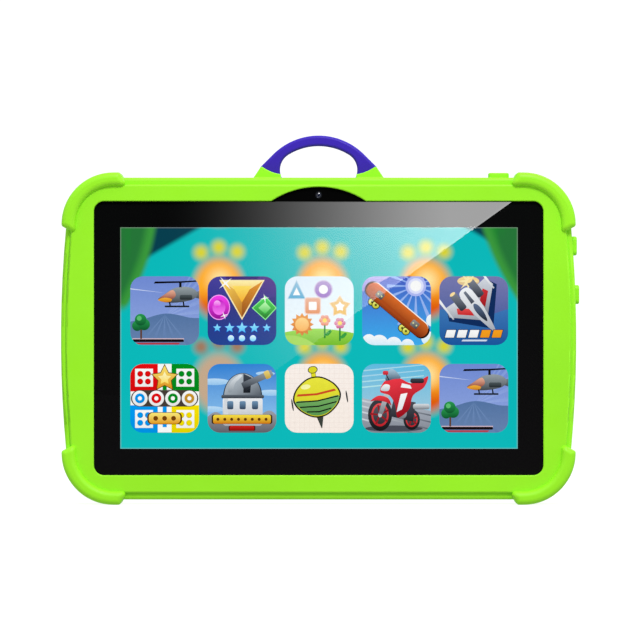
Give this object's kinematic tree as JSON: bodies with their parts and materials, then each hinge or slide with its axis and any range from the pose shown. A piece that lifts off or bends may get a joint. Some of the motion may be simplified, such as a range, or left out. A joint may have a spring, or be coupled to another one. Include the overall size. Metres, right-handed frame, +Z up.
{
  "type": "kids toy tablet",
  "caption": "Seven-inch children's tablet in a soft case with corner bumpers, side buttons, ports and a carry handle that folds back as a stand.",
  "frame": {"origin": "under the middle of the case, on the surface that its two lower bumpers stand on, at the middle of its thickness", "axes": "+Z up along the handle, +X to the viewer's right, -Y the way the screen faces, +Y the back"},
  "size_m": [0.2013, 0.018, 0.1437],
  "materials": {
    "case_silicone": "satin moulded silicone",
    "handle_plastic": "satin",
    "shell_black": "matt",
    "cover_glass": "polished, black border printed on the back",
    "touch_film": "clear film",
    "black_tape": "foam",
    "flex": "polyimide",
    "display": "lit display",
    "backlight": "light guide",
    "steel": "stamped",
    "board": "solder mask",
    "chip": "moulded",
    "battery": "foil pouch",
    "lead": "insulated wire",
    "white_plastic": "moulded",
    "lens": "coated lens",
    "trim_ring": "anodised"
  },
  "bodies": {
    "tablet": {"silicone_case": "case_silicone", "stand_base": "handle_plastic", "stand_pins": "steel", "front_frame": "shell_black", "rear_cover": "shell_black", "cover_glass": "cover_glass", "touch_sensor": "touch_film", "glass_tape": "black_tape", "touch_flex": "flex", "lcd_panel": "display", "lcd_backlight": "backlight", "lcd_frame": "steel", "lcd_flex": "flex", "mainboard": "board", "board_screws": "steel", "processor_chip": "chip", "memory_chips": "chip", "shield_can": "steel", "usb_socket": "steel", "usb_tongue": "chip", "headphone_jack": "chip", "card_slot": "steel", "microphone": "steel", "battery": "battery", "battery_tape": "black_tape", "battery_lead": "lead", "battery_plug": "white_plastic", "speaker": "chip", "speaker_gasket": "black_tape", "speaker_lead": "lead", "front_camera": "chip", "front_camera_window": "lens", "camera_flex": "flex", "rear_camera": "chip", "rear_camera_window": "lens", "rear_camera_ring": "trim_ring", "wifi_antenna": "flex", "antenna_lead": "lead", "cover_screws": "steel", "power_switch": "steel", "volume_up_switch": "steel", "volume_down_switch": "steel"},
    "handle": {"handle_stand": "handle_plastic"},
    "power_button": {"power_pad": "case_silicone", "power_key": "shell_black", "power_plunger": "chip"},
    "volume_up_button": {"volume_up_pad": "case_silicone", "volume_up_key": "shell_black", "volume_up_plunger": "chip"},
    "volume_down_button": {"volume_down_pad": "case_silicone", "volume_down_key": "shell_black", "volume_down_plunger": "chip"}
  },
  "joints": [
    {"name": "handle_fold", "type": "hinge", "parent": "tablet", "child": "handle", "pos_m": [0, 0.00715, 0.058], "axis": [-1, 0, 0], "range_deg": [0, 115]},
    {"name": "power_press", "type": "slide", "parent": "tablet", "child": "power_button", "axis": [0, 0, -1], "range_m": [0, 0.0004], "stiffness_N_per_m": 3000, "springref_m": -0.0002},
    {"name": "volume_up_press", "type": "slide", "parent": "tablet", "child": "volume_up_button", "axis": [-1, 0, 0], "range_m": [0, 0.0004], "stiffness_N_per_m": 3000, "springref_m": -0.0002},
    {"name": "volume_down_press", "type": "slide", "parent": "tablet", "child": "volume_down_button", "axis": [-1, 0, 0], "range_m": [0, 0.0004], "stiffness_N_per_m": 3000, "springref_m": -0.0002}
  ]
}
